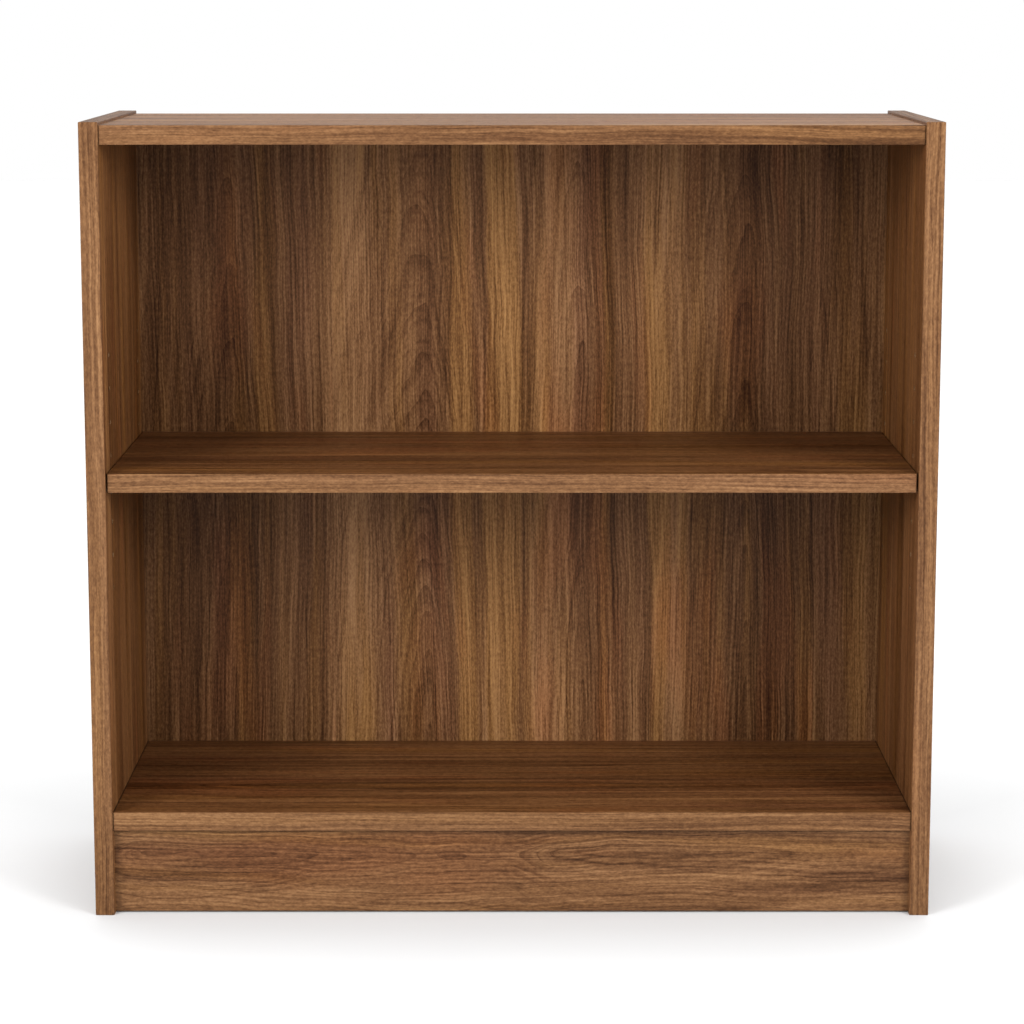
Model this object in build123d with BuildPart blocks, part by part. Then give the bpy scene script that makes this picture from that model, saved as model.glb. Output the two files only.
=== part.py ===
from build123d import *
import os

# A low flat-pack bookcase: two sides, a top between them, one adjustable shelf on four pins,
# a fixed bottom shelf over a recessed kick plate, and a thin back panel held in grooves.
# Millimetres. The origin is on the floor, at the middle of the footprint. +X is to the right
# of someone who faces the open front, +Y is to the back and +Z is up.

# Overall size
width = 800.0
depth = 300.0
height = 757.0

# Boards and their edge bands
board = 18.0
band = 1.0
arris = 0.8
band_end_gap = 0.4
side_bottom_bevel = 1.2

# Heights of the undersides of the horizontal boards
top_reveal = 3.0
top_underside = height - top_reveal - board
shelf_underside = 410.5
bottom_underside = 83.0
kick_floor_gap = 2.0

# How far each front stands behind the sides' front
fixed_set_back = 2.5
shelf_set_back = 4.0
kick_set_back = 9.0

# Adjustable shelf
shelf_end_gap = 1.5
shelf_rear_gap = 1.0

# Back panel in its grooves
back_thick = 3.0
back_front = 143.0
back_in_groove = 6.0
groove_gap = 0.25
groove_depth = 6.5
groove_past_top_underside = 9.0
side_groove_top = top_underside + groove_past_top_underside

# Shelf-pin holes: two columns in each side, eight rows at a 32 mm pitch
pin_hole_radius = 2.5
pin_hole_depth = 10.0
pin_column_front = -103.0
pin_column_rear = 121.0
pin_pitch = 32.0
pin_rows_below = 3
pin_rows_above = 4
pin_axis_height = shelf_underside - pin_hole_radius

# Shelf pin: a round shank in the side, a flange against it and a tongue under the shelf
pin_shank_radius = 2.45
pin_shank_length = 8.0
pin_width = 10.0
pin_tongue = 10.0
pin_tongue_thick = 1.8
pin_flange_thick = 1.2
pin_flange_height = 6.5
pin_rib_thick = 1.8
pin_rib_from_tip = 1.5
pin_rib_from_flange_foot = 1.0
pin_corner = 2.0
pin_shank_chamfer = 0.5

# Cam fastening: a bolt in the side, and a lock in a bore in the board
cam_reach = 34.0
cam_bore_radius = 7.5
cam_bore_depth = 12.5
cam_channel_radius = 3.6
pilot_radius = 2.5
pilot_depth = 12.0
fastener_columns = (-97.0, 97.0)

# Wood dowels beside the cams
dowel_radius = 3.95
dowel_hole_radius = 4.0
dowel_in_side = 11.0
dowel_in_board = 19.0
dowel_hole_spare = 1.0
dowel_chamfer = 1.0
dowel_columns = (-65.0, 65.0)

# The kick plate's one cam and one dowel at each end
kick_cam_height = 56.0
kick_dowel_height = 26.0

# Nails through the back panel into the bottom shelf's rear edge
nail_count = 7
nail_spacing = 110.0
nail_radius = 0.7
nail_hole_radius = 0.75
nail_length = 20.0
nail_head_radius = 2.0
nail_head_thick = 0.6

# Corner blocks between the kick plate and the bottom shelf, and their screws
block_x = 190.0
block_leg = 24.0
block_width = 26.0
block_wall = 3.0
block_rib = 2.5
block_screw_offset = 14.0
screw_radius = 1.5
screw_length = 15.0
screw_point_length = 3.0
screw_hole_radius = 1.6
screw_hole_spare = 1.0
screw_head_radius = 3.2
screw_head_thick = 1.8
screw_head_rounding = 0.8
screw_slot_length = 1.3 * screw_head_radius
screw_slot_width = 1.0
screw_slot_depth = 0.9
screw_hole_depth = screw_length - block_wall + screw_hole_spare

# Lines that several pieces share
inside = width / 2 - board
front = -depth / 2
rear = depth / 2
fixed_front = front + fixed_set_back
kick_front = front + kick_set_back
kick_rear = kick_front + board
kick_middle = kick_front + board / 2
back_rear = back_front + back_thick
top_middle = top_underside + board / 2
bottom_middle = bottom_underside + board / 2
left, right = -1, 1

os.makedirs("parts", exist_ok=True)


def save(piece, name):
    """Labels a finished piece and writes it under the same name."""
    piece.part.label = name
    export_step(piece.part, f"parts/{name}.step")


def into_side(side):
    """The inner face of one side, facing into its board: local x runs along side * Y."""
    return Plane(origin=(side * inside, 0, 0), x_dir=(0, side, 0), z_dir=(side, 0, 0))


def into_case(side, y, z):
    """A point on the inner face of one side, facing into the case: local y is up."""
    return Plane(origin=(side * inside, y, z), x_dir=(0, -side, 0), z_dir=(-side, 0, 0))


def on_side(side, points):
    """Turns (y, z) points on a side's inner face into that face's local ones."""
    return [(side * y, z) for y, z in points]


# Where each kind of fastener crosses a side's inner face, as (y, z)
board_cam_points = [(y, z) for y in fastener_columns for z in (bottom_middle, top_middle)]
cam_points = board_cam_points + [(kick_middle, kick_cam_height)]
board_dowel_points = [(y, z) for y in dowel_columns for z in (bottom_middle, top_middle)]
dowel_points = board_dowel_points + [(kick_middle, kick_dowel_height)]
pin_rows = range(-pin_rows_below, pin_rows_above + 1)
pin_columns = (pin_column_front, pin_column_rear)
pin_hole_points = [(y, pin_axis_height + row * pin_pitch) for y in pin_columns for row in pin_rows]
nail_columns = [(i - (nail_count - 1) / 2) * nail_spacing for i in range(nail_count)]


# ---- Sides ----


def side_panel(side):
    """One upright board, with its groove for the back and all the holes in its inner face."""
    drilled = (
        (pin_hole_points, pin_hole_radius, pin_hole_depth),
        (cam_points, pilot_radius, pilot_depth),
        (dowel_points, dowel_hole_radius, dowel_in_side + dowel_hole_spare),
    )
    with BuildPart() as panel:
        with BuildSketch(Plane.XY):
            with Locations((side * (inside + board / 2), band / 2)):
                Rectangle(board, depth - band)
        extrude(amount=height - band)
        with BuildSketch(Plane.XY):
            with Locations((side * (inside + groove_depth / 2), back_front + back_thick / 2)):
                Rectangle(groove_depth, back_thick + 2 * groove_gap)
        extrude(amount=side_groove_top, mode=Mode.SUBTRACT)
        for points, radius, hole_depth in drilled:
            with BuildSketch(into_side(side)):
                with Locations(*on_side(side, points)):
                    Circle(radius)
            extrude(amount=hole_depth, mode=Mode.SUBTRACT)
    return panel


def side_front_band(side):
    """The strip that covers a side's front edge, its outer arrises rounded."""
    with BuildPart() as strip:
        with BuildSketch(Plane.XY):
            with Locations((side * (inside + board / 2), front + band / 2)):
                Rectangle(board, band)
        extrude(amount=height)
        bottom_edges = strip.edges().filter_by(Axis.Y).group_by(Axis.Z)[0]
        chamfer(bottom_edges, length=side_bottom_bevel)
        front_edges = strip.faces().sort_by(Axis.Y)[0].edges()
        top_edges = strip.edges().filter_by(Axis.Y).group_by(Axis.Z)[-1]
        fillet(front_edges + top_edges, radius=arris)
    return strip


def side_top_band(side):
    """The strip on a side's top edge, behind the front band."""
    with BuildPart() as strip:
        with BuildSketch(Plane.XY.offset(height - band)):
            with Locations((side * (inside + board / 2), band / 2)):
                Rectangle(board, depth - band)
        extrude(amount=band)
        fillet(strip.faces().sort_by(Axis.Z)[-1].edges().filter_by(Axis.Y), radius=arris)
    return strip


for side, side_name in ((left, "left"), (right, "right")):
    save(side_panel(side), f"{side_name}_side")
    save(side_front_band(side), f"{side_name}_side_front_band")
    save(side_top_band(side), f"{side_name}_side_top_band")


# ---- Top panel and bottom shelf ----


def fixed_board(underside, board_rear):
    """A board between the sides, drilled at both ends for its cams and dowels."""
    middle = underside + board / 2
    board_front = fixed_front + band
    with BuildPart() as panel:
        with BuildSketch(Plane.XY.offset(underside)):
            with Locations((0, (board_front + board_rear) / 2)):
                Rectangle(2 * inside, board_rear - board_front)
        extrude(amount=board)
        with BuildSketch(Plane.XY.offset(underside)):
            with GridLocations(2 * (inside - cam_reach), fastener_columns[1] - fastener_columns[0], 2, 2):
                Circle(cam_bore_radius)
        extrude(amount=cam_bore_depth, mode=Mode.SUBTRACT)
        for end in (left, right):
            with BuildSketch(into_side(end)):
                with Locations(*on_side(end, [(y, middle) for y in fastener_columns])):
                    Circle(cam_channel_radius)
            extrude(amount=-cam_reach, mode=Mode.SUBTRACT)
            with BuildSketch(into_side(end)):
                with Locations(*on_side(end, [(y, middle) for y in dowel_columns])):
                    Circle(dowel_hole_radius)
            extrude(amount=-(dowel_in_board + dowel_hole_spare), mode=Mode.SUBTRACT)
    return panel


def shelf_front_band(underside, strip_front, length):
    """The strip on the front edge of a horizontal board, rounded all round its face."""
    with BuildPart() as strip:
        with BuildSketch(Plane.XY.offset(underside)):
            with Locations((0, strip_front + band / 2)):
                Rectangle(length, band)
        extrude(amount=board)
        fillet(strip.faces().sort_by(Axis.Y)[0].edges(), radius=arris)
    return strip


with BuildPart() as top_panel:
    add(fixed_board(top_underside, rear).part)
    with BuildSketch(Plane.XY.offset(top_underside)):
        with Locations((0, back_front + back_thick / 2)):
            Rectangle(2 * inside, back_thick + 2 * groove_gap)
    extrude(amount=groove_depth, mode=Mode.SUBTRACT)
save(top_panel, "top_panel")

with BuildPart() as bottom_shelf:
    add(fixed_board(bottom_underside, back_front).part)
    with BuildSketch(Plane.XZ.offset(-back_front)):
        with Locations(*[(x, bottom_middle) for x in nail_columns]):
            Circle(nail_hole_radius)
    extrude(amount=nail_length - back_thick, mode=Mode.SUBTRACT)
    with BuildSketch(Plane.XY.offset(bottom_underside)):
        with Locations(*[(side * block_x, kick_rear + block_screw_offset) for side in (left, right)]):
            Circle(screw_hole_radius)
    extrude(amount=screw_hole_depth, mode=Mode.SUBTRACT)
save(bottom_shelf, "bottom_shelf")

fixed_band_length = 2 * (inside - band_end_gap)
save(shelf_front_band(top_underside, fixed_front, fixed_band_length), "top_panel_front_band")
save(shelf_front_band(bottom_underside, fixed_front, fixed_band_length), "bottom_shelf_front_band")


# ---- Adjustable shelf ----

shelf_length = 2 * (inside - shelf_end_gap)
shelf_front = front + shelf_set_back
shelf_rear = back_front - shelf_rear_gap

with BuildPart() as adjustable_shelf:
    with BuildSketch(Plane.XY.offset(shelf_underside)):
        with Locations((0, (shelf_front + band + shelf_rear) / 2)):
            Rectangle(shelf_length, shelf_rear - shelf_front - band)
    extrude(amount=board)
save(adjustable_shelf, "adjustable_shelf")
save(shelf_front_band(shelf_underside, shelf_front, shelf_length), "adjustable_shelf_front_band")


# ---- Kick plate ----

with BuildPart() as kick_plate:
    with BuildSketch(Plane.XY.offset(kick_floor_gap)):
        with Locations((0, kick_middle)):
            Rectangle(2 * inside, board)
    extrude(amount=bottom_underside - kick_floor_gap)
    with BuildSketch(Plane.XZ.offset(-kick_rear)):
        with Locations(*[(end * (inside - cam_reach), kick_cam_height) for end in (left, right)]):
            Circle(cam_bore_radius)
    extrude(amount=cam_bore_depth, mode=Mode.SUBTRACT)
    with BuildSketch(Plane.XZ.offset(-kick_rear)):
        with Locations(*[(end * block_x, bottom_underside - block_screw_offset) for end in (left, right)]):
            Circle(screw_hole_radius)
    extrude(amount=screw_hole_depth, mode=Mode.SUBTRACT)
    for end in (left, right):
        with BuildSketch(into_side(end)):
            with Locations(*on_side(end, [(kick_middle, kick_cam_height)])):
                Circle(cam_channel_radius)
        extrude(amount=-cam_reach, mode=Mode.SUBTRACT)
        with BuildSketch(into_side(end)):
            with Locations(*on_side(end, [(kick_middle, kick_dowel_height)])):
                Circle(dowel_hole_radius)
        extrude(amount=-(dowel_in_board + dowel_hole_spare), mode=Mode.SUBTRACT)
save(kick_plate, "kick_plate")


# ---- Back panel and its nails ----

with BuildPart() as back_panel:
    with BuildSketch(Plane.XY.offset(bottom_underside)):
        with Locations((0, back_front + back_thick / 2)):
            Rectangle(2 * (inside + back_in_groove), back_thick)
    extrude(amount=top_underside + back_in_groove - bottom_underside)
    with BuildSketch(Plane.XZ.offset(-back_rear)):
        with Locations(*[(x, bottom_middle) for x in nail_columns]):
            Circle(nail_hole_radius)
    extrude(amount=back_thick, mode=Mode.SUBTRACT)
save(back_panel, "back_panel")

with BuildPart() as back_panel_nails:
    nail_places = [(x, bottom_middle) for x in nail_columns]
    with BuildSketch(Plane.XZ.offset(-back_rear)):
        with Locations(*nail_places):
            Circle(nail_radius)
    extrude(amount=nail_length - nail_head_thick)
    with BuildSketch(Plane.XZ.offset(-back_rear)):
        with Locations(*nail_places):
            Circle(nail_head_radius)
    extrude(amount=-nail_head_thick)
save(back_panel_nails, "back_panel_nails")


# ---- Cam bolts ----

bolt_thread_length = 11.0
bolt_thread_pitch = 2.0
bolt_thread_crest = 2.45
bolt_thread_root = 1.9
bolt_collar_radius = 3.4
bolt_collar_length = 1.5
bolt_collar_slope = 0.5
bolt_shaft_radius = 3.0
bolt_neck_start = cam_reach - 4.0
bolt_neck_radius = 1.8
bolt_neck_slope = 1.0
bolt_head_start = cam_reach - 0.5
bolt_head_end = cam_reach + 2.5
bolt_head_radius = 3.2
bolt_head_bevel = 0.8

thread_turns = int(bolt_thread_length / bolt_thread_pitch)
thread_profile = [(0, -bolt_thread_length)]
for turn in range(thread_turns):
    turn_start = -bolt_thread_length + turn * bolt_thread_pitch
    thread_profile.append((bolt_thread_root, turn_start))
    thread_profile.append((bolt_thread_crest, turn_start + bolt_thread_pitch / 2))
thread_profile.append((bolt_thread_root, -bolt_thread_length + thread_turns * bolt_thread_pitch))
shaft_profile = [
    (bolt_thread_root, 0),
    (bolt_collar_radius, 0),
    (bolt_collar_radius, bolt_collar_length),
    (bolt_shaft_radius, bolt_collar_length + bolt_collar_slope),
    (bolt_shaft_radius, bolt_neck_start),
    (bolt_neck_radius, bolt_neck_start + bolt_neck_slope),
    (bolt_neck_radius, bolt_head_start),
    (bolt_head_radius, bolt_head_start + bolt_head_bevel),
    (bolt_head_radius, bolt_head_end - bolt_head_bevel),
    (bolt_head_radius - bolt_head_bevel, bolt_head_end),
    (0, bolt_head_end),
]

with BuildPart() as one_cam_bolt:
    with BuildSketch(Plane.XZ):
        with BuildLine():
            Polyline(*thread_profile, *shaft_profile, close=True)
        make_face()
    revolve(axis=Axis.Z)

with BuildPart() as cam_bolts:
    with Locations(*[into_case(side, y, z) for side in (left, right) for y, z in cam_points]):
        add(one_cam_bolt.part)
save(cam_bolts, "cam_bolts")


# ---- Cam locks ----

lock_radius = 7.4
lock_height = 12.3
lock_roof = 4.0
lock_rounding = 0.4
lock_cavity_radius = 5.2
lock_mouth_width = 7.0
lock_mouth_overrun = 1.0
lock_cross_length = 9.0
lock_cross_width = 1.6
lock_cross_depth = 1.8

# The lock's own frame: its face at z = 0 and its body below; the bolt comes in along +x.
with BuildPart() as one_cam_lock:
    with BuildSketch(Plane.XY.offset(-lock_height)):
        Circle(lock_radius)
    extrude(amount=lock_height)
    with BuildSketch(Plane.XY.offset(-lock_height)):
        Circle(lock_cavity_radius)
        with Locations((lock_radius / 2, 0)):
            Rectangle(lock_radius + lock_mouth_overrun, lock_mouth_width)
    extrude(amount=lock_height - lock_roof, mode=Mode.SUBTRACT)
    with BuildSketch(Plane.XY):
        Rectangle(lock_cross_length, lock_cross_width)
        Rectangle(lock_cross_width, lock_cross_length)
    extrude(amount=-lock_cross_depth, mode=Mode.SUBTRACT)
    lock_face = one_cam_lock.faces().sort_by(Axis.Z)[-1]
    fillet(lock_face.edges().filter_by(GeomType.CIRCLE), radius=lock_rounding)

lock_planes = []
for side in (left, right):
    lock_x = side * (inside - cam_reach)
    for y in fastener_columns:
        for underside in (bottom_underside, top_underside):
            lock_planes.append(Plane(origin=(lock_x, y, underside), x_dir=(side, 0, 0), z_dir=(0, 0, -1)))
    kick_origin = (lock_x, kick_rear, kick_cam_height)
    lock_planes.append(Plane(origin=kick_origin, x_dir=(side, 0, 0), z_dir=(0, 1, 0)))

with BuildPart() as cam_locks:
    with Locations(*lock_planes):
        add(one_cam_lock.part)
save(cam_locks, "cam_locks")


# ---- Wood dowels ----

with BuildPart() as one_dowel:
    with BuildSketch(Plane.XY.offset(-dowel_in_side)):
        Circle(dowel_radius)
    extrude(amount=dowel_in_side + dowel_in_board)
    chamfer(one_dowel.edges().filter_by(GeomType.CIRCLE), length=dowel_chamfer)

with BuildPart() as wood_dowels:
    with Locations(*[into_case(side, y, z) for side in (left, right) for y, z in dowel_points]):
        add(one_dowel.part)
save(wood_dowels, "wood_dowels")


# ---- Corner blocks and their screws ----


def block_plane(side):
    """The corner under the bottom shelf and behind the kick plate: local y is back, z is down."""
    origin = (side * block_x, kick_rear, bottom_underside)
    return Plane(origin=origin, x_dir=(-1, 0, 0), z_dir=(0, 0, -1))


with BuildPart() as one_corner_block:
    with BuildSketch(Plane.XY):
        with Locations((0, block_leg / 2)):
            Rectangle(block_width, block_leg)
    extrude(amount=block_wall)
    with BuildSketch(Plane.XZ):
        with Locations((0, block_leg / 2)):
            Rectangle(block_width, block_leg)
    extrude(amount=-block_wall)
    for rib in (-1, 1):
        with BuildSketch(Plane.YZ.offset(rib * (block_width - block_rib) / 2 - block_rib / 2)):
            with BuildLine():
                Polyline((0, 0), (block_leg, 0), (block_leg, block_wall), (block_wall, block_leg),
                         (0, block_leg), close=True)
            make_face()
        extrude(amount=block_rib)
    with BuildSketch(Plane.XY):
        with Locations((0, block_screw_offset)):
            Circle(screw_hole_radius)
    extrude(amount=block_wall, mode=Mode.SUBTRACT)
    with BuildSketch(Plane.XZ):
        with Locations((0, block_screw_offset)):
            Circle(screw_hole_radius)
    extrude(amount=-block_wall, mode=Mode.SUBTRACT)

with BuildPart() as corner_blocks:
    with Locations(block_plane(left), block_plane(right)):
        add(one_corner_block.part)
save(corner_blocks, "corner_blocks")

# The screw's own frame: the underside of its head at z = 0, its shank along +z.
with BuildPart() as one_screw:
    with BuildSketch(Plane.XZ):
        with BuildLine():
            Polyline((0, 0), (screw_radius, 0), (screw_radius, screw_length - screw_point_length),
                     (0, screw_length), close=True)
        make_face()
    revolve(axis=Axis.Z)
    with BuildSketch(Plane.XY):
        Circle(screw_head_radius)
    extrude(amount=-screw_head_thick)
    fillet(one_screw.faces().sort_by(Axis.Z)[0].edges(), radius=screw_head_rounding)
    with BuildSketch(Plane.XY.offset(-screw_head_thick)):
        Rectangle(screw_slot_length, screw_slot_width)
        Rectangle(screw_slot_width, screw_slot_length)
    extrude(amount=screw_slot_depth, mode=Mode.SUBTRACT)

screw_planes = []
for side in (left, right):
    under_shelf = (side * block_x, kick_rear + block_screw_offset, bottom_underside - block_wall)
    screw_planes.append(Plane(origin=under_shelf, x_dir=(1, 0, 0), z_dir=(0, 0, 1)))
    behind_kick = (side * block_x, kick_rear + block_wall, bottom_underside - block_screw_offset)
    screw_planes.append(Plane(origin=behind_kick, x_dir=(1, 0, 0), z_dir=(0, -1, 0)))

with BuildPart() as corner_block_screws:
    with Locations(*screw_planes):
        add(one_screw.part)
save(corner_block_screws, "corner_block_screws")


# ---- Shelf pins ----

# The pin's own frame: the side's face at z = 0, the shank below it, up along +y.
with BuildPart() as one_shelf_pin:
    with BuildSketch(Plane.XY.offset(-pin_shank_length)):
        Circle(pin_shank_radius)
    extrude(amount=pin_shank_length)
    chamfer(one_shelf_pin.faces().sort_by(Axis.Z)[0].edges(), length=pin_shank_chamfer)
    with BuildSketch(Plane.XY):
        with Locations((0, pin_hole_radius - pin_flange_height / 2)):
            RectangleRounded(pin_width, pin_flange_height, pin_corner / 2)
    extrude(amount=pin_flange_thick)
    with BuildSketch(Plane.XZ.offset(-pin_hole_radius)) as tongue:
        with Locations((0, pin_tongue / 2)):
            Rectangle(pin_width, pin_tongue)
        fillet(tongue.vertices().group_by(Axis.Z)[-1], radius=pin_corner)
    extrude(amount=pin_tongue_thick)
    with BuildSketch(Plane.YZ.offset(-pin_rib_thick / 2)):
        with BuildLine():
            Polyline((pin_hole_radius - pin_tongue_thick, 0),
                     (pin_hole_radius - pin_tongue_thick, pin_tongue - pin_rib_from_tip),
                     (pin_hole_radius - pin_flange_height + pin_rib_from_flange_foot, 0), close=True)
        make_face()
    extrude(amount=pin_rib_thick)

for side, side_name in ((left, "left"), (right, "right")):
    for column, column_name in ((pin_column_front, "front"), (pin_column_rear, "rear")):
        with BuildPart() as shelf_pin:
            with Locations(into_case(side, column, pin_axis_height)):
                add(one_shelf_pin.part)
        save(shelf_pin, f"shelf_pin_{column_name}_{side_name}")
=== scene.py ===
import math

import bpy
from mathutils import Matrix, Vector


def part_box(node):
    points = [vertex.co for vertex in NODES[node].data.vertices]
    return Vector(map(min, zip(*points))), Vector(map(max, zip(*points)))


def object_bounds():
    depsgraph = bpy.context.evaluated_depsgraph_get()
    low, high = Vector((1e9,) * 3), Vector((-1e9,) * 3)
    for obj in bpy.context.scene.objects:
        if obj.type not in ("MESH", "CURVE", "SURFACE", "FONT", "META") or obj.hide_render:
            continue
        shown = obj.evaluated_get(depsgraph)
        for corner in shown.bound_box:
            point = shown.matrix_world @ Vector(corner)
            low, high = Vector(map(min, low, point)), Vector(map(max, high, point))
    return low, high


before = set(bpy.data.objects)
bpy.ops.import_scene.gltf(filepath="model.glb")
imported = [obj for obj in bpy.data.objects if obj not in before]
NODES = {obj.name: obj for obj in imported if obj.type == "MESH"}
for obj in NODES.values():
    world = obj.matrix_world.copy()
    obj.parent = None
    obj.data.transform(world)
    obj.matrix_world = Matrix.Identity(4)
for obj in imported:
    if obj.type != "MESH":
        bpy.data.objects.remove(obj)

# A walnut-effect flat-pack bookcase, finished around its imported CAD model. Metres, +X right,
# +Y to the back, +Z up, the floor at z = 0. Every board's grain is worked out from its object's
# own coordinates, so it stays on its board when the shelf moves.

CAD_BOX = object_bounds()

CASE_LOW, CASE_HIGH = CAD_BOX
HALF_WIDTH = CASE_HIGH.x
FRONT = CASE_LOW.y
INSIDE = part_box("right_side")[0].x
AXES = {"x": 0, "y": 1, "z": 2}


# ---- A short way to write node trees ----


class Net:
    """Builds the node tree of one material. Most methods add one node and return its output socket.
    Place, facing, split and scaled give one socket for each direction."""

    def __init__(self, name):
        self.material = bpy.data.materials.new(name)
        self.material.use_nodes = True
        self.tree = self.material.node_tree
        self.tree.nodes.clear()
        self.coords = self.node("ShaderNodeTexCoord")

    def node(self, kind, **settings):
        made = self.tree.nodes.new(kind)
        for key, value in settings.items():
            setattr(made, key, value)
        return made

    def put(self, socket, value):
        if isinstance(value, bpy.types.NodeSocket):
            self.tree.links.new(value, socket)
        else:
            socket.default_value = value

    def place(self):
        return self.split(self.coords.outputs["Object"])

    def facing(self):
        return self.split(self.coords.outputs["Normal"])

    def math(self, operation, a, b=0.0, c=0.0):
        made = self.node("ShaderNodeMath", operation=operation)
        for socket, value in zip(made.inputs, (a, b, c)):
            self.put(socket, value)
        return made.outputs[0]

    def weighted(self, first, *others):
        """The sum of several (value, weight) pairs."""
        total = self.math("MULTIPLY", *first)
        for value, weight in others:
            total = self.math("MULTIPLY_ADD", value, weight, total)
        return total

    def vector(self, x, y, z):
        made = self.node("ShaderNodeCombineXYZ")
        for socket, value in zip(made.inputs, (x, y, z)):
            self.put(socket, value)
        return made.outputs[0]

    def split(self, socket):
        made = self.node("ShaderNodeSeparateXYZ")
        self.put(made.inputs[0], socket)
        return made.outputs

    def scaled(self, place, per_metre):
        return [self.math("MULTIPLY", part, per_metre) for part in place]

    def noise(self, x, y, z, detail=2.0, roughness=0.5):
        made = self.node("ShaderNodeTexNoise")
        self.put(made.inputs["Vector"], self.vector(x, y, z))
        made.inputs["Scale"].default_value = 1.0
        made.inputs["Detail"].default_value = detail
        made.inputs["Roughness"].default_value = roughness
        return made.outputs["Fac"]

    def remap(self, value, low, high, to_low=0.0, to_high=1.0):
        made = self.node("ShaderNodeMapRange", clamp=True)
        for socket, number in zip(made.inputs, (value, low, high, to_low, to_high)):
            self.put(socket, number)
        return made.outputs[0]

    def ramp(self, value, stops, mode="LINEAR"):
        made = self.node("ShaderNodeValToRGB")
        made.color_ramp.interpolation = mode
        elements = made.color_ramp.elements
        while len(elements) < len(stops):
            elements.new(0.5)
        for element, (place, colour) in zip(elements, stops):
            element.position = place
            element.color = (*colour, 1.0)
        self.put(made.inputs[0], value)
        return made.outputs[0]

    def mix(self, factor, a, b, blend="MIX"):
        made = self.node("ShaderNodeMix", data_type="RGBA", blend_type=blend)
        self.put(made.inputs[0], factor)
        self.put(made.inputs[6], a)
        self.put(made.inputs[7], b)
        return made.outputs[2]

    def bump(self, height, distance):
        made = self.node("ShaderNodeBump")
        self.put(made.inputs["Height"], height)
        made.inputs["Distance"].default_value = distance
        return made.outputs[0]

    def shade(self, colour, roughness, normal=None, **sockets):
        """Finishes the material and returns it. A socket's name has _ for each space."""
        made = self.node("ShaderNodeBsdfPrincipled")
        self.put(made.inputs["Base Color"], colour)
        self.put(made.inputs["Roughness"], roughness)
        if normal is not None:
            self.put(made.inputs["Normal"], normal)
        for key, value in sockets.items():
            self.put(made.inputs[key.replace("_", " ")], value)
        out = self.node("ShaderNodeOutputMaterial")
        self.put(out.inputs[0], made.outputs[0])
        return self.material


# ---- Walnut print ----

WALNUT = (  # its colour at each tone
    (0.00, (0.0190, 0.0068, 0.0022)),
    (0.25, (0.0450, 0.0178, 0.0064)),
    (0.50, (0.0860, 0.0372, 0.0146)),
    (0.75, (0.1440, 0.0675, 0.0278)),
    (1.00, (0.2200, 0.1120, 0.0490)),
    (1.35, (0.3150, 0.1700, 0.0790)),
)
LIGHTEST = WALNUT[-1][0]
GOLDEN = (1.05, 1.02, 0.80, 1.0)
PLUM = (0.96, 0.93, 1.03, 1.0)
RUST = (1.08, 0.93, 0.88, 1.0)
PORE = (0.55, 0.50, 0.48, 1.0)
PRINT_RELIEF = 0.00015

# A leaf of veneer is (left edge, heart, depth, start, length). Depth is how far its arches sink to
# either side of the heart; the plain leaf has none, and its heart is far off the board.
PLAIN_LEAF = (0.0, -0.9, 0.0, 0.0, 1.0)
TIP = 1.5
LOPSIDED = 0.35
LEAF_SPREAD = 3.0
FULL_ARCH_DEPTH = 0.016
HEART_CORE = 0.012
HEART_REACH = 0.054
RISE_SHARE = 0.84
WANDER = 0.022
RIPPLE = 0.0042
RINGS_PER_METRE = 215.0
VEIN_WIDTH = 0.026


def growth(net, across, along, leaves):
    """Distance from the heart of the log, as each leaf of veneer shows it, and how close to a heart
    that is. Far from a leaf's heart its rings run straight along the board, and over the heart they
    close in arches, one set in each length from start. A TIP of 2 would make the arches round, and
    1 pointed."""
    m = net.math
    ring, close = None, None
    for edge, heart, depth, start, length in leaves:
        aside = m("SUBTRACT", across, heart)
        rise = m("FRACT", m("DIVIDE", m("SUBTRACT", along, start), length))
        rise = net.ramp(rise, ((0.0, (0.0,) * 3), (RISE_SHARE, (1.0,) * 3), (1.0, (0.0,) * 3)), "EASE")
        sunk = m("POWER", m("MULTIPLY", net.split(rise)[0], depth), TIP)
        here = m("POWER", m("ADD", m("POWER", m("ABSOLUTE", aside), TIP), sunk), 1.0 / TIP)
        here = m("ADD", m("MULTIPLY_ADD", aside, LOPSIDED, here), heart * LEAF_SPREAD)
        arched = min(1.0, depth / FULL_ARCH_DEPTH)
        near = net.remap(m("ABSOLUTE", aside), HEART_CORE, HEART_REACH, arched, 0.0)
        if ring is None:
            ring, close = here, near
            continue
        right = m("GREATER_THAN", across, edge)
        left = m("SUBTRACT", 1.0, right)
        ring = m("ADD", m("MULTIPLY", here, right), m("MULTIPLY", ring, left))
        close = m("ADD", m("MULTIPLY", near, right), m("MULTIPLY", close, left))
    return ring, close


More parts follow.
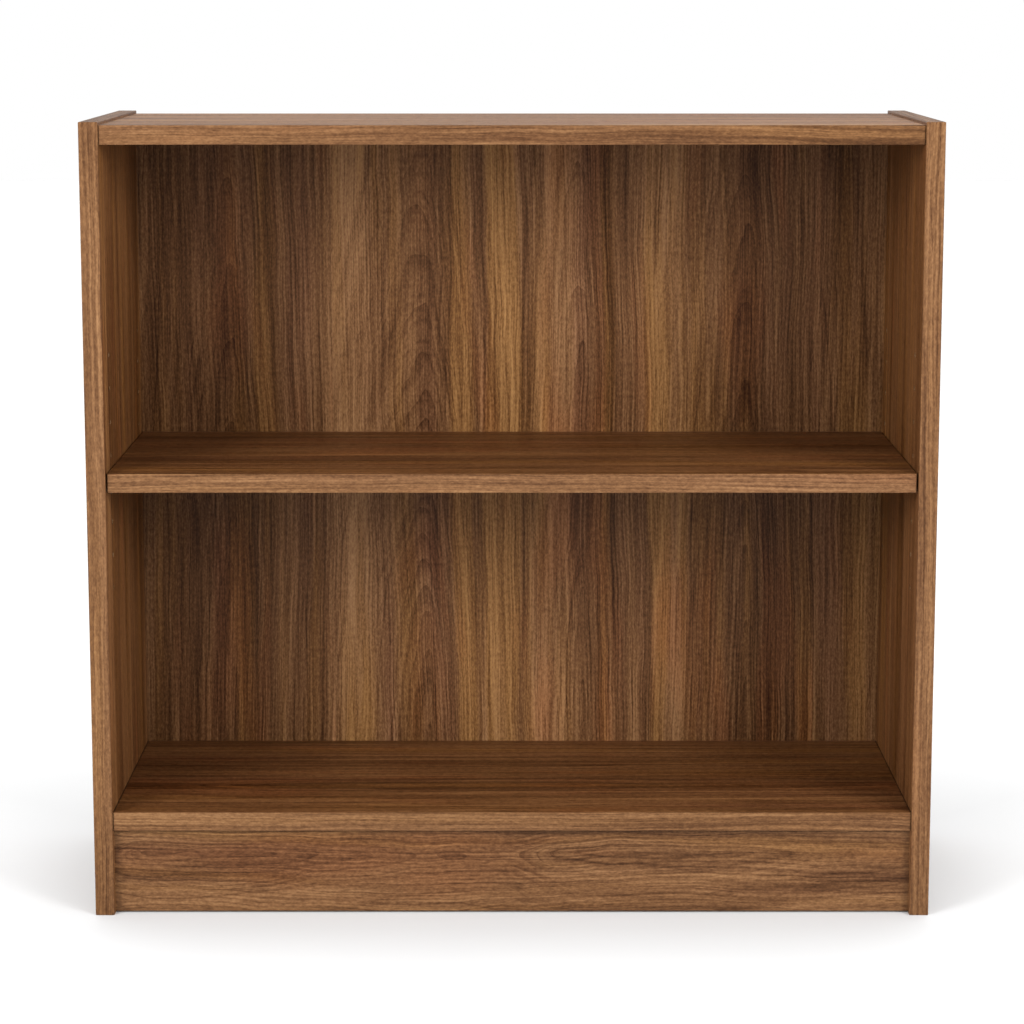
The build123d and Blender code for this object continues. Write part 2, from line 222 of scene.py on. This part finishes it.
def grain(net, across, along, through, seed, leaves, bands=None, tone=0.5, contrast=1.0, hues=1.0,
          sway=1.0):
    """The walnut print on one board: (colour, height for bump). Across, along and through are the
    board's own directions in metres; tone is its middle lightness from 0 to 1, hues is how far its
    patches drift in colour and sway is how far its lines bend. Bands gives the (lift in tone, shift
    towards gold) of its own broad strips. Each noise is read at a seed of its own."""
    m = net.math

    def noise(where, per_metre, lengthwise, offset, detail):
        return net.noise(m("MULTIPLY", where, per_metre), m("MULTIPLY", along, lengthwise),
                         seed + offset, detail)

    def streaks(where, per_metre, lengthwise, offset, detail=2.0, roughness=0.55):
        found = net.noise(m("MULTIPLY", where, per_metre), m("MULTIPLY", along, lengthwise),
                          m("ADD", m("MULTIPLY", through, 12.0), seed + offset), detail, roughness)
        return m("SUBTRACT", found, 0.5)

    # the whole print wanders sideways by a few millimetres
    wander = noise(across, 6.0, 2.2, 0.0, 2.0)
    ripple = noise(across, 30.0, 14.0, 5.0, 2.0)
    shift = net.weighted((m("SUBTRACT", wander, 0.5), WANDER * sway),
                         (m("SUBTRACT", ripple, 0.5), RIPPLE * sway))
    level = m("ADD", across, shift)
    ring, close = growth(net, across, along, leaves)
    ring = m("ADD", ring, shift)

    # lines from the widest to the finest, some straight and some following the rings
    broad = streaks(level, 16.0, 0.6, 3.1, detail=1.0)
    medium = streaks(ring, 62.0, 1.3, 7.7, roughness=0.6)
    narrow = streaks(ring, 175.0, 1.4, 13.9, roughness=0.75)
    fine = streaks(level, 470.0, 5.0, 17.3, detail=1.0, roughness=0.75)
    fibre = streaks(level, 520.0, 210.0, 21.3, detail=1.0, roughness=0.8)

    # long dark lines, where a slow height map crosses one level, in clusters
    veins = noise(ring, 95.0, 2.0, 31.0, 1.0)
    veins = net.remap(m("ABSOLUTE", m("SUBTRACT", veins, 0.5)), 0.0, VEIN_WIDTH, 1.0, 0.0)
    shown = noise(level, 24.0, 3.2, 43.0, 1.0)
    veins = m("MULTIPLY", veins, net.remap(shown, 0.42, 0.60))

    # the dark late wood of each ring, drawn only where the arches are
    late = m("FRACT", m("MULTIPLY_ADD", ring, RINGS_PER_METRE, m("MULTIPLY", shown, 2.0)))
    late = m("MULTIPLY", m("POWER", late, 3.0), close)

    total = net.weighted((broad, 0.50), (medium, 0.62), (narrow, 0.72), (fine, 1.05), (fibre, 0.75),
                         (veins, -0.24), (late, -0.21))
    total = m("MULTIPLY_ADD", total, contrast, tone)
    warmth = noise(level, 34.0, 1.3, 51.0, 2.0)
    if bands is not None:
        lift, warm = bands(net, level)
        total = m("ADD", total, lift)
        warmth = m("ADD", warmth, warm)
    colour = net.ramp(m("DIVIDE", total, LIGHTEST), [(place / LIGHTEST, tint) for place, tint in WALNUT])

    # patches drift from plum through brown to gold, and some are rusty
    colour = net.mix(net.remap(warmth, 0.52, 0.66, 0.0, 0.9 * hues), colour, GOLDEN, "MULTIPLY")
    colour = net.mix(net.remap(warmth, 0.46, 0.32, 0.0, 0.8 * hues), colour, PLUM, "MULTIPLY")
    rust = m("MULTIPLY_ADD", close, 0.10, noise(ring, 26.0, 3.0, 57.0, 2.0))
    colour = net.mix(net.remap(rust, 0.56, 0.70, 0.0, 0.8 * hues), colour, RUST, "MULTIPLY")

    # open pores: short dark dashes along the grain
    pores = net.remap(noise(ring, 700.0, 60.0, 61.0, 1.0), 0.60, 0.72)
    colour = net.mix(m("MULTIPLY", pores, 0.55), colour, PORE, "MULTIPLY")
    return colour, net.weighted((pores, -0.8), (fine, 0.5))


# ---- Boards ----

SKIN = 0.0004  # how near to a face still counts as on it
REAR_EDGE = 0.002
# painted shadow: a dark hairline where a board's end meets its side, standing in for the shade in that
# crack
PAINTED_JOINT_SHADOW_WIDTH = 0.0009
PAINTED_JOINT_SHADOW_FADE = 1.8
PAINTED_JOINT_SHADOW = (0.010, 0.005, 0.003, 1.0)
# painted shade for raw board inside holes and grooves
BORE_PAINTED_SHADE = (0.45, 0.40, 0.36, 1.0)
PRINT_SMOOTH = 0.38
PRINT_ROUGH = 0.50
BARE_ROUGH = 0.85
FLAKES_PER_METRE = 420.0
DUST_PER_METRE = 1500.0


def chipboard(net, place):
    """Raw particle board, as on an edge that has no band: (colour, height)."""
    flakes = net.node("ShaderNodeTexVoronoi", feature="F1")
    net.put(flakes.inputs["Vector"], net.vector(*net.scaled(place, FLAKES_PER_METRE)))
    flakes.inputs["Scale"].default_value = 1.0
    chips = net.split(flakes.outputs["Color"])[0]
    dust = net.noise(*net.scaled(place, DUST_PER_METRE))
    height = net.weighted((chips, 0.5), (dust, 0.5))
    colour = net.ramp(height, ((0.1, (0.16, 0.095, 0.048)), (0.5, (0.36, 0.245, 0.140)),
                               (0.9, (0.56, 0.42, 0.27))))
    return colour, height


def face_mask(net, axis, faces):
    """1 on the laminated faces of a board: those that look along the axis and lie at one of faces."""
    m = net.math
    place = net.place()[axis]
    near = [m("LESS_THAN", m("ABSOLUTE", m("SUBTRACT", place, face)), SKIN) for face in faces]
    looks_along = m("GREATER_THAN", m("ABSOLUTE", net.facing()[axis]), 0.5)
    return m("MULTIPLY", looks_along, m("MAXIMUM", *near))


def from_side(net):
    """How far a point is from the inner face of the nearer side, towards the middle."""
    return net.math("SUBTRACT", INSIDE, net.math("ABSOLUTE", net.place()[0]))


def board_material(name, node, along, across, seed, leaf, cored=True, gloss=0.12, tint=None,
                   painted_joint_shadow=False, **look):
    """Walnut print on the two broad faces of a board and particle board everywhere else, or print
    all over if it isn't cored. A tint, which is painted light, colours only what lies between the
    inner faces of the two sides. With its painted shadow on, a board is darkened along the hairline
    where each end meets its side, a painted shadow of the crack there. The look is the tone, contrast,
    hues and sway of its grain."""
    net = Net(name)
    m = net.math
    place = net.place()
    through = ({"x", "y", "z"} - {along, across}).pop()
    colour, height = grain(net, place[AXES[across]], place[AXES[along]], place[AXES[through]], seed,
                           (leaf,), **look)
    # painted light: the tint warms the inside of the case as light bounced between the walnut boards
    # would, or lightens the top panel as light from above would
    if tint:
        between = m("GREATER_THAN", from_side(net), -SKIN)
        colour = net.mix(between, colour, (*tint, 1.0), "MULTIPLY")
    # painted shadow in the crack where each end meets its side
    if painted_joint_shadow:
        dark = net.remap(from_side(net), PAINTED_JOINT_SHADOW_WIDTH, PAINTED_JOINT_SHADOW_WIDTH * PAINTED_JOINT_SHADOW_FADE, 0.8, 0.0)
        colour = net.mix(dark, colour, PAINTED_JOINT_SHADOW)
    rough = net.remap(height, -0.4, 0.4, PRINT_ROUGH, PRINT_SMOOTH)
    if cored:
        low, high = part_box(node)
        axis = AXES[through]
        printed = face_mask(net, axis, (low[axis], high[axis]))
        bare = m("SUBTRACT", 1.0, printed)
        raw, raw_height = chipboard(net, place)
        # painted shade: raw board is painted darker in holes and grooves than on the rear edge, for the
        # shade inside them
        painted_bore_shade_mask = m("LESS_THAN", place[1], CASE_HIGH.y - REAR_EDGE)
        raw = net.mix(painted_bore_shade_mask, raw, BORE_PAINTED_SHADE, "MULTIPLY")
        colour = net.mix(printed, raw, colour)
        height = m("ADD", m("MULTIPLY", height, printed), m("MULTIPLY", raw_height, bare))
        rough = m("MAXIMUM", rough, m("MULTIPLY", bare, BARE_ROUGH))
    return net.shade(colour, rough, net.bump(height, PRINT_RELIEF), Specular_IOR_Level=gloss)


# ---- Back panel ----

BACK_LEAVES = (
    (-0.400, -0.285, 0.035, -0.20, 1.15),
    (-0.185, -0.085, 0.070, 0.03, 0.87),
    (0.010, 0.075, 0.024, -0.10, 1.05),
    (0.145, 0.245, 0.040, 0.00, 0.95),
    (0.315, 0.420, 0.0, 0.0, 1.0),
)
BACK_STRIPS = (  # the few strips that stand out across the panel: middle, width, lift in tone
    (-0.34, 0.02, -0.10), (-0.17, 0.05, 0.15), (-0.05, 0.02, 0.15), (-0.01, 0.03, 0.20),
    (0.02, 0.02, -0.05), (0.05, 0.03, 0.10), (0.16, 0.04, 0.10), (0.36, 0.03, 0.05),
)
STRIP_EDGE = 0.003
STRIP_GOLD = 0.6
UNEVEN_PER_METRE = 45.0
UNEVEN_LIFT = 0.30
# painted light towards the middle of the back panel and painted shade towards its ends, by the side
# walls
MIDDLE_ENDS = 0.05
PAINTED_MIDDLE_LIGHT = 0.08
END_STARTS = 0.25
PAINTED_END_SHADE = -0.04
FELT_PER_METRE = 260.0
CLOUDS_PER_METRE = 9.0


def back_strips(net, u):
    """The strips of the back panel's print, over finer uneven ones: (lift, warmth). The print is
    painted lighter towards the middle and darker towards the ends, as painted light and shade where the
    side walls shade the back, and a lighter strip is more golden."""
    m = net.math
    uneven = net.noise(m("MULTIPLY", u, UNEVEN_PER_METRE), 0.0, 71.0, detail=1.0)
    strips = m("MULTIPLY", m("SUBTRACT", uneven, 0.5), UNEVEN_LIFT)
    for middle, width, lift in BACK_STRIPS:
        aside = m("ABSOLUTE", m("SUBTRACT", u, middle))
        inside = net.remap(aside, width / 2 - STRIP_EDGE, width / 2 + STRIP_EDGE, lift, 0.0)
        strips = m("ADD", strips, inside)
    # painted light in the middle of the back and painted shade towards its ends
    painted_vignette = net.remap(m("ABSOLUTE", u), MIDDLE_ENDS, END_STARTS, PAINTED_MIDDLE_LIGHT, PAINTED_END_SHADE)
    return m("ADD", strips, painted_vignette), m("MULTIPLY", strips, STRIP_GOLD)


def back_material():
    """Printed walnut on the front of the thin back panel, bare hardboard behind."""
    net = Net("back_print")
    m = net.math
    place = net.place()
    x, y, z = place
    colour, height = grain(net, x, z, y, 4.0, BACK_LEAVES, bands=back_strips, tone=0.64, sway=1.3)
    rear = net.remap(net.facing()[1], -0.1, 0.1)
    felt = net.noise(*net.scaled(place, FELT_PER_METRE), 4.0, 0.65)
    clouds = net.noise(*net.scaled((x, z), CLOUDS_PER_METRE), 2.0, 3.0)
    raw = net.ramp(net.weighted((felt, 0.6), (clouds, 0.4)),
                   ((0.25, (0.150, 0.085, 0.045)), (0.75, (0.270, 0.165, 0.092))))
    colour = net.mix(rear, colour, raw)
    rough = m("MULTIPLY_ADD", rear, 0.35, 0.45)
    relief = net.bump(m("ADD", height, m("MULTIPLY", felt, rear)), PRINT_RELIEF)
    return net.shade(colour, rough, relief, Specular_IOR_Level=0.08)


# ---- Fittings ----

MARKS_PER_METRE = 900.0
MARK_SPREAD = 0.15
MARK_DULLING = 0.78
MARK_RELIEF = 0.00004
SPARKS_PER_METRE = 2600.0
SPARK_RELIEF = 0.00006
FLECKS_ALONG = 80.0
FLECKS_ACROSS = 1400.0
FLECK_RELIEF = 0.0001


def metal_material(name, colour, roughness):
    """A plated metal with fine handling marks."""
    net = Net(name)
    marks = net.noise(*net.scaled(net.place(), MARKS_PER_METRE), 3.0, 0.6)
    rough = net.remap(marks, 0.3, 0.7, roughness - MARK_SPREAD / 2, roughness + MARK_SPREAD / 2)
    dull = tuple(part * MARK_DULLING for part in colour)
    tint = net.mix(net.remap(marks, 0.35, 0.65), (*dull, 1.0), (*colour, 1.0))
    return net.shade(tint, rough, net.bump(marks, MARK_RELIEF), Metallic=1.0)


def plastic_material():
    """Dark brown moulded plastic with a finely sparked surface."""
    net = Net("brown_plastic")
    spark = net.noise(*net.scaled(net.place(), SPARKS_PER_METRE))
    tint = net.ramp(spark, ((0.3, (0.040, 0.022, 0.014)), (0.7, (0.070, 0.040, 0.026))))
    return net.shade(tint, 0.55, net.bump(spark, SPARK_RELIEF))


def beech_material():
    """Pale beech with short flecks along the dowels, which lie along X."""
    net = Net("beech")
    x, y, z = net.place()
    fleck = net.noise(net.math("MULTIPLY", x, FLECKS_ALONG), *net.scaled((y, z), FLECKS_ACROSS))
    tint = net.ramp(fleck, ((0.3, (0.42, 0.25, 0.13)), (0.7, (0.62, 0.42, 0.25))))
    return net.shade(tint, 0.6, net.bump(fleck, FLECK_RELIEF))


# ---- What each node is made of ----

# Painted light: the warmth of light bounced around inside the case, and the lightness of light falling
# on the top panel.
PAINTED_BOUNCE_WARMTH = (1.06, 0.94, 0.80)
PAINTED_TOP_LIGHT = (1.27, 1.27, 1.27)

# The grain stands up on the sides and runs across on the rest. For each board: its material, the
# ways along and across its grain, its seed, its one leaf of veneer and what else is its own.
BOARDS = {
    "left_side": ("walnut_left_side", "z", "y", 11.0, (0.0, 0.05, 0.012, 0.1, 0.4),
                  {"tone": 0.75, "tint": PAINTED_BOUNCE_WARMTH}),
    "right_side": ("walnut_right_side", "z", "y", 23.0, (0.0, -0.02, 0.012, 0.2, 0.5),
                   {"tone": 0.66, "tint": PAINTED_BOUNCE_WARMTH}),
    "top_panel": ("walnut_top", "x", "y", 37.0, (0.0, 0.20, 0.01, 0.1, 0.9),
                  {"tone": 0.80, "contrast": 1.3, "gloss": 0.075, "tint": PAINTED_TOP_LIGHT}),
    "adjustable_shelf": ("walnut_shelf", "x", "y", 41.0, (0.0, 0.05, 0.016, -0.3, 0.7),
                         {"tone": 0.61, "tint": PAINTED_BOUNCE_WARMTH}),
    "bottom_shelf": ("walnut_bottom", "x", "y", 53.0, (0.0, -0.04, 0.016, -0.2, 0.9),
                     {"tone": 0.60, "tint": PAINTED_BOUNCE_WARMTH, "painted_joint_shadow": True}),
    "kick_plate": ("walnut_kick", "x", "z", 67.0, (0.0, 0.060, 0.016, -0.34, 0.40),
                   {"tone": 0.65, "contrast": 0.85, "hues": 0.8, "sway": 2.0}),
}

# each edge band: the ways along and across its grain, and its tone
EDGE_BANDS = {
    "left_side_front_band": ("z", "x", 0.64),
    "right_side_front_band": ("z", "x", 0.77),
    "left_side_top_band": ("y", "x", 0.69),
    "right_side_top_band": ("y", "x", 0.69),
    "top_panel_front_band": ("x", "z", 0.69),
    "adjustable_shelf_front_band": ("x", "z", 0.69),
    "bottom_shelf_front_band": ("x", "z", 0.71),
}
FIRST_BAND_SEED = 80.0
BAND_SEED_STEP = 9.0


def give(material, *names):
    for name in names:
        mesh = NODES[name].data
        mesh.materials.clear()
        mesh.materials.append(material)


def finish_boards():
    for node, (name, along, across, seed, leaf, own) in BOARDS.items():
        give(board_material(name, node, along, across, seed, leaf, **own), node)
    give(back_material(), "back_panel")
    for number, (node, (along, across, tone)) in enumerate(EDGE_BANDS.items()):
        seed = FIRST_BAND_SEED + BAND_SEED_STEP * number
        give(board_material("walnut_" + node, node, along, across, seed, PLAIN_LEAF, cored=False,
                            tone=tone, contrast=0.8, hues=0.4), node)


def finish_fittings():
    give(metal_material("zinc_plate", (0.62, 0.60, 0.55), 0.36), "cam_bolts", "back_panel_nails",
         "corner_block_screws")
    give(metal_material("die_cast", (0.42, 0.42, 0.42), 0.5), "cam_locks")
    give(metal_material("nickel_plate", (0.68, 0.65, 0.60), 0.26), "shelf_pin_front_left",
         "shelf_pin_front_right", "shelf_pin_rear_left", "shelf_pin_rear_right")
    give(plastic_material(), "corner_blocks")
    give(beech_material(), "wood_dowels")


# ---- Floor, light and camera ----

FLOOR_REACH = 12.0
GLOW_STARTS = 0.04
GLOW_FULL = 0.60
GLOW = 0.27
WHITE = (1.0, 1.0, 1.0, 1.0)
HORIZON_ENDS = 0.25
ZENITH_STARTS = 0.60
SOFTBOX_SIZE = 1.3
SOFTBOX_POWER = 88.0
SOFTBOX_ASIDE = 2.2
SOFTBOX_AHEAD = 2.6
SOFTBOX_HEIGHT = 1.58
SOFTBOX_AIM = (0.0, 0.0, 0.40)


def add_floor():
    """A pale studio sweep: plain near the object, brightening to white with distance."""
    mesh = bpy.data.meshes.new("floor")
    corners = [(x * FLOOR_REACH, y * FLOOR_REACH, 0) for x, y in ((-1, -1), (1, -1), (1, 1), (-1, 1))]
    mesh.from_pydata(corners, [], [(0, 1, 2, 3)])
    floor = bpy.data.objects.new("floor", mesh)
    bpy.context.scene.collection.objects.link(floor)
    net = Net("pale_floor")
    m = net.math
    x, y, _ = net.place()
    cloud = net.noise(*net.scaled((x, y), 3.0), 0.0, 3.0)
    tint = net.ramp(cloud, ((0.3, (0.660, 0.665, 0.670)), (0.7, (0.680, 0.685, 0.690))))
    aside = m("SUBTRACT", m("ABSOLUTE", x), HALF_WIDTH)
    away = m("MAXIMUM", aside, m("ADD", m("ABSOLUTE", y), FRONT))
    glow = net.remap(away, GLOW_STARTS, GLOW_FULL, 0.0, GLOW)
    floor.data.materials.append(net.shade(tint, 0.6, Specular_IOR_Level=0.1, Emission_Color=WHITE,
                                          Emission_Strength=glow))


def add_lamp(lamp, place, aim):
    """Stands a lamp at a place, aimed, and out of sight of the camera and of reflections."""
    stand = bpy.data.objects.new(lamp.name, lamp)
    bpy.context.scene.collection.objects.link(stand)
    stand.location = place
    stand.rotation_euler = (Vector(aim) - Vector(place)).to_track_quat("-Z", "Y").to_euler()
    stand.visible_camera = False
    stand.visible_glossy = False


def add_softbox(name, side):
    """A large soft lamp in front of the object, to one side of it: -1 is left and 1 right."""
    lamp = bpy.data.lights.new(name, "AREA")
    lamp.shape = "RECTANGLE"
    lamp.size, lamp.size_y = SOFTBOX_SIZE, SOFTBOX_SIZE
    lamp.energy = SOFTBOX_POWER
    add_lamp(lamp, (side * SOFTBOX_ASIDE, -SOFTBOX_AHEAD, SOFTBOX_HEIGHT), SOFTBOX_AIM)


def add_overhead(name, strength, direction, spread):
    """A very wide light far away, so the floor is lit evenly out to the horizon. It shines from its
    direction towards the middle of the floor, and its spread is in degrees."""
    lamp = bpy.data.lights.new(name, "SUN")
    lamp.energy = strength
    lamp.angle = math.radians(spread)
    add_lamp(lamp, direction, (0.0, 0.0, 0.0))


def add_world(horizon, zenith):
    """White all round near the horizon and softer overhead."""
    world = bpy.data.worlds.new("studio_white")
    bpy.context.scene.world = world
    world.use_nodes = True
    tree = world.node_tree
    coords = tree.nodes.new("ShaderNodeTexCoord")
    parts = tree.nodes.new("ShaderNodeSeparateXYZ")
    level = tree.nodes.new("ShaderNodeMapRange")
    tree.links.new(coords.outputs["Generated"], parts.inputs[0])
    tree.links.new(parts.outputs[2], level.inputs[0])
    for socket, number in zip(level.inputs[1:5], (HORIZON_ENDS, ZENITH_STARTS, horizon, zenith)):
        socket.default_value = number
    background = tree.nodes["Background"]
    background.inputs["Color"].default_value = WHITE
    tree.links.new(level.outputs[0], background.inputs["Strength"])


def add_camera():
    """A long lens a little above the object's top, in front of its middle."""
    camera = bpy.data.cameras.new("camera")
    camera.lens = 108.3
    camera.sensor_width = 36.0
    camera.clip_start, camera.clip_end = 0.1, 60.0
    camera_object = bpy.data.objects.new("camera", camera)
    bpy.context.scene.collection.objects.link(camera_object)
    distance, eye, pitch = 2.857, 0.868, math.radians(9.44)
    camera_object.location = (0.0, FRONT - distance, eye)
    camera_object.rotation_euler = (math.pi / 2 - pitch, 0.0, 0.0)
    bpy.context.scene.camera = camera_object


finish_boards()
finish_fittings()
add_floor()
add_world(horizon=1.0, zenith=0.45)
add_overhead("overhead_front", strength=0.95, direction=(0.0, -0.8, 1.25), spread=50.0)
add_overhead("overhead_back", strength=1.35, direction=(0.0, 0.16, 1.0), spread=26.0)
for side in (-1, 1):
    add_softbox("softbox_%d" % side, side)
add_camera()
bpy.context.scene.view_settings.view_transform = "Standard"
